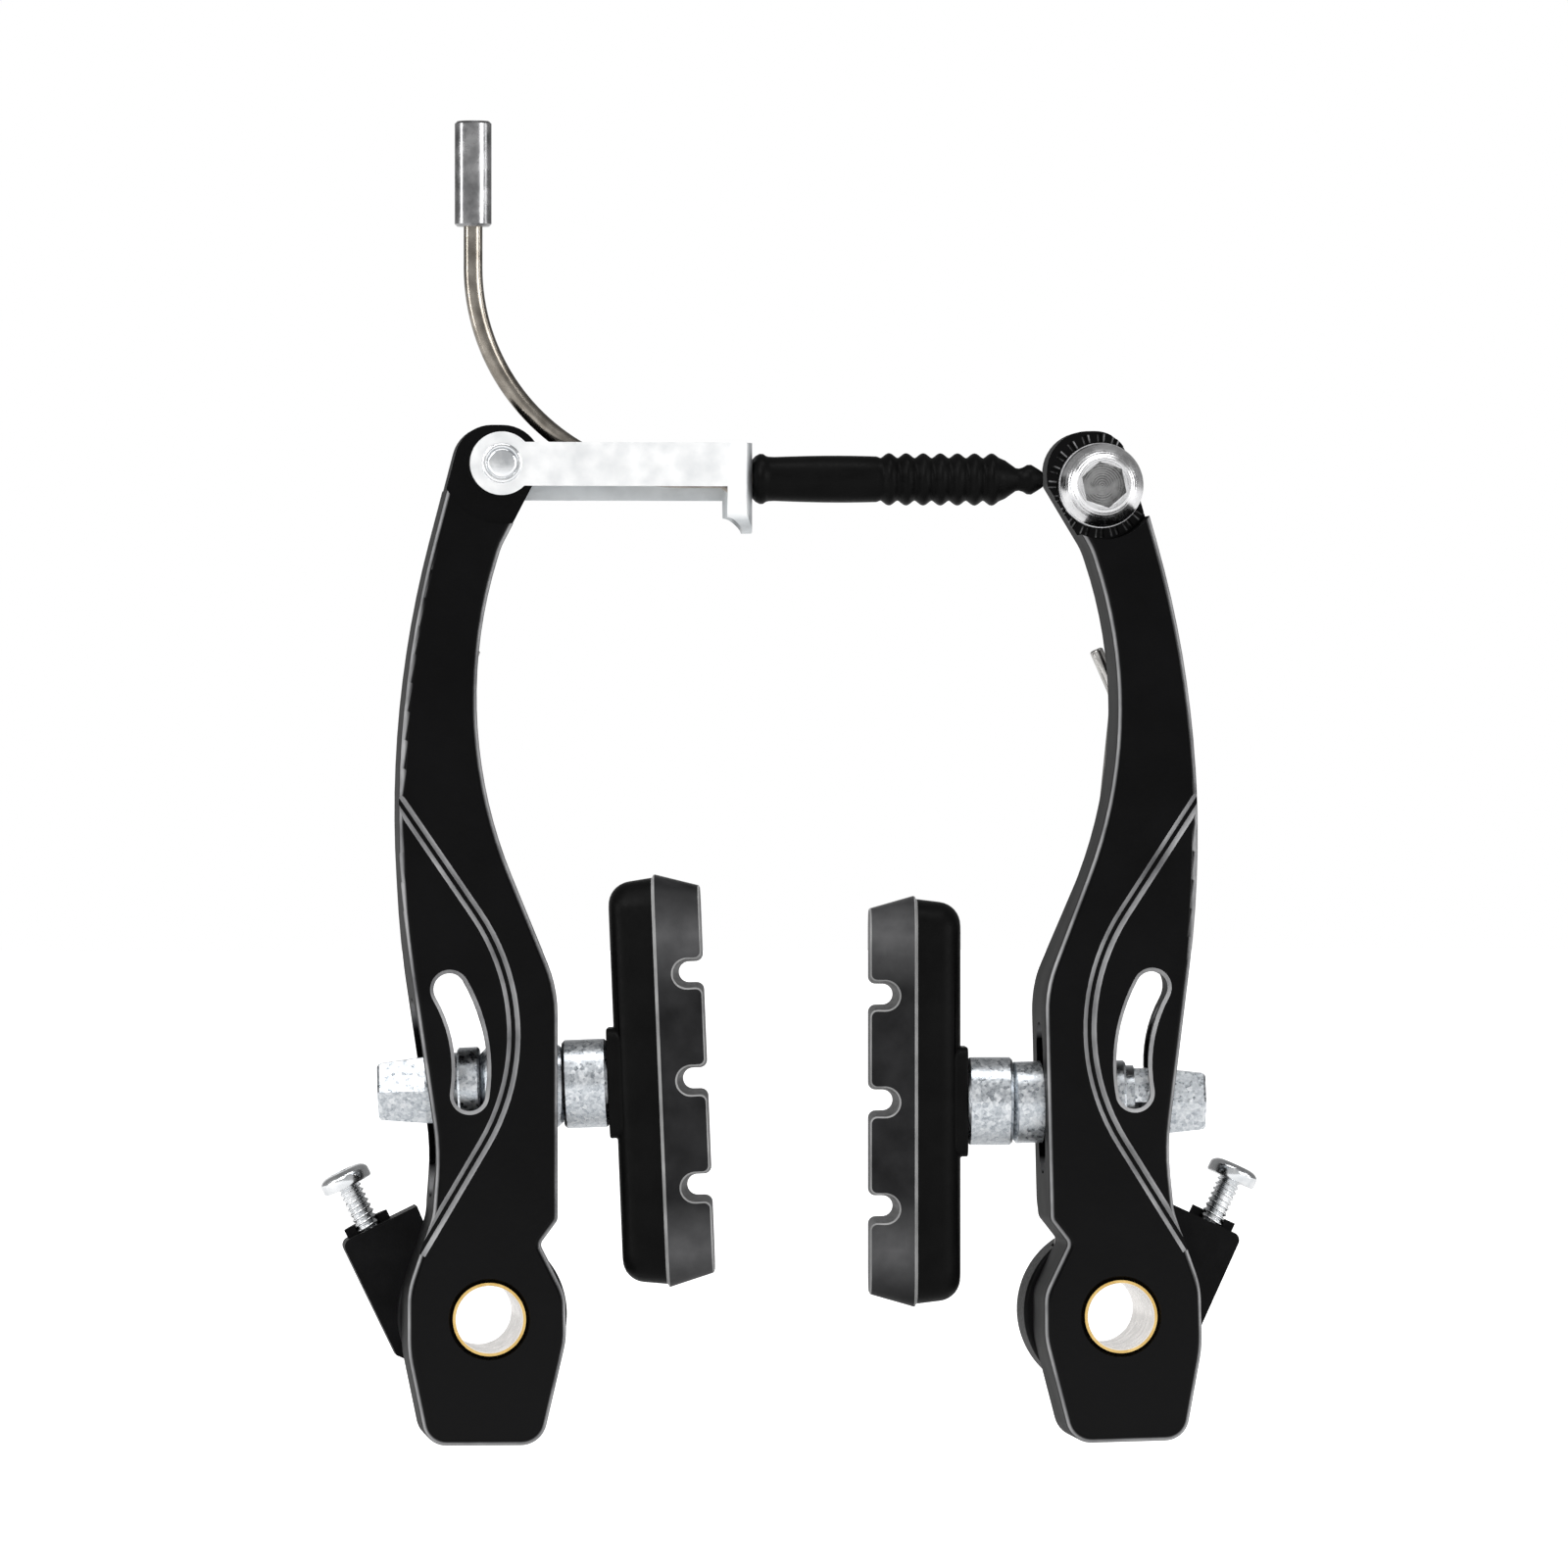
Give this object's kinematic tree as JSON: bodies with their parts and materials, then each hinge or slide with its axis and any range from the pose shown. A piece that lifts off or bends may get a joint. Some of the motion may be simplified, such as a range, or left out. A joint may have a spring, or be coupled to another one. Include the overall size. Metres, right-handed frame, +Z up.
{
  "type": "v brake",
  "caption": "Linear-pull bicycle rim brake: mirrored black arms with slotted rubber pads, spring cups, and a steel noodle, link and ribbed boot across the top.",
  "frame": {"origin": "midway between the two boss axes, on the plane where the sleeves meet the frame", "axes": "+Z up along the arms, +X to the viewer's right along the line of the bosses, +Y from the front of the brake back into the frame, along the bosses"},
  "size_m": [0.1158, 0.027, 0.1609],
  "materials": {
    "arm_paint": "gloss black paint",
    "holder_plastic": "black moulding",
    "brass_bush": "turned brass",
    "spring_wire": "drawn wire",
    "zinc_steel": "mottled zinc plate",
    "screw_steel": "bright zinc plate",
    "pad_rubber": "moulded rubber",
    "link_plate": "bright nickel plate",
    "noodle_steel": "polished tube",
    "boot_rubber": "soft rubber",
    "anchor_steel": "polished steel"
  },
  "bodies": {
    "mount": {"left_pivot_sleeve": "brass_bush", "left_spring_holder": "holder_plastic", "left_return_spring": "spring_wire", "right_pivot_sleeve": "brass_bush", "right_spring_holder": "holder_plastic", "right_return_spring": "spring_wire"},
    "left_arm": {"left_arm": "arm_paint", "left_spring_peg": "zinc_steel", "link_rivet": "link_plate"},
    "right_arm": {"right_arm": "arm_paint", "right_spring_peg": "zinc_steel", "anchor_bolt": "anchor_steel", "anchor_washer": "anchor_steel"},
    "link": {"noodle_link": "link_plate", "noodle_tube": "noodle_steel", "noodle_ferrule": "noodle_steel", "noodle_nose": "noodle_steel", "noodle_boot": "boot_rubber"},
    "left_pad_clamp": {"left_dome_inner": "zinc_steel", "left_dome_outer": "zinc_steel", "left_cup_inner": "zinc_steel", "left_cup_outer": "zinc_steel", "left_flat_washer": "zinc_steel", "left_pad_nut": "zinc_steel"},
    "left_pad": {"left_pad_post": "zinc_steel", "left_pad_block": "pad_rubber"},
    "left_screw": {"left_tension_screw": "screw_steel"},
    "right_pad_clamp": {"right_dome_inner": "zinc_steel", "right_dome_outer": "zinc_steel", "right_cup_inner": "zinc_steel", "right_cup_outer": "zinc_steel", "right_flat_washer": "zinc_steel", "right_pad_nut": "zinc_steel"},
    "right_pad": {"right_pad_post": "zinc_steel", "right_pad_block": "pad_rubber"},
    "right_screw": {"right_tension_screw": "screw_steel"}
  },
  "joints": [
    {"name": "left_arm_pivot", "type": "hinge", "parent": "mount", "child": "left_arm", "pos_m": [-0.03855, -0.0105, 0], "axis": [0, 1, 0], "range_deg": [-28, 0], "stiffness_Nm_per_rad": 0.6, "springref_deg": -12, "deforming": ["left_return_spring"]},
    {"name": "right_arm_pivot", "type": "hinge", "parent": "mount", "child": "right_arm", "pos_m": [0.03855, -0.0105, 0], "axis": [0, -1, 0], "range_deg": [-28, 0], "stiffness_Nm_per_rad": 0.6, "springref_deg": -12, "deforming": ["right_return_spring"]},
    {"name": "link_pivot", "type": "hinge", "parent": "left_arm", "child": "link", "pos_m": [-0.037, -0.0158, 0.1038], "axis": [0, -1, 0], "range_deg": [-35, 100]},
    {"name": "left_pad_height", "type": "slide", "parent": "left_arm", "child": "left_pad_clamp", "axis": [0, 0, 1], "range_m": [-0.0074, 0.0046]},
    {"name": "right_pad_height", "type": "slide", "parent": "right_arm", "child": "right_pad_clamp", "axis": [-0.0244, 0, 0.9997], "range_m": [-0.0055, 0.0065]},
    {"name": "left_pad_turn", "type": "hinge", "parent": "left_pad_clamp", "child": "left_pad", "pos_m": [-0.03388, -0.01375, 0.0281], "axis": [0.9937, -0.1045, 0.0399], "range_deg": [-100, 100]},
    {"name": "right_pad_turn", "type": "hinge", "parent": "right_pad_clamp", "child": "right_pad", "pos_m": [0.03324, -0.01375, 0.02608], "axis": [-0.9976, 0.0698, 0], "range_deg": [-100, 100]},
    {"name": "left_screw_travel", "type": "slide", "parent": "mount", "child": "left_screw", "axis": [0.4394, 0, -0.8983], "range_m": [-0.003, 0.0018]},
    {"name": "right_screw_travel", "type": "slide", "parent": "mount", "child": "right_screw", "axis": [-0.4173, 0, -0.9088], "range_m": [-0.003, 0.0018]}
  ]
}
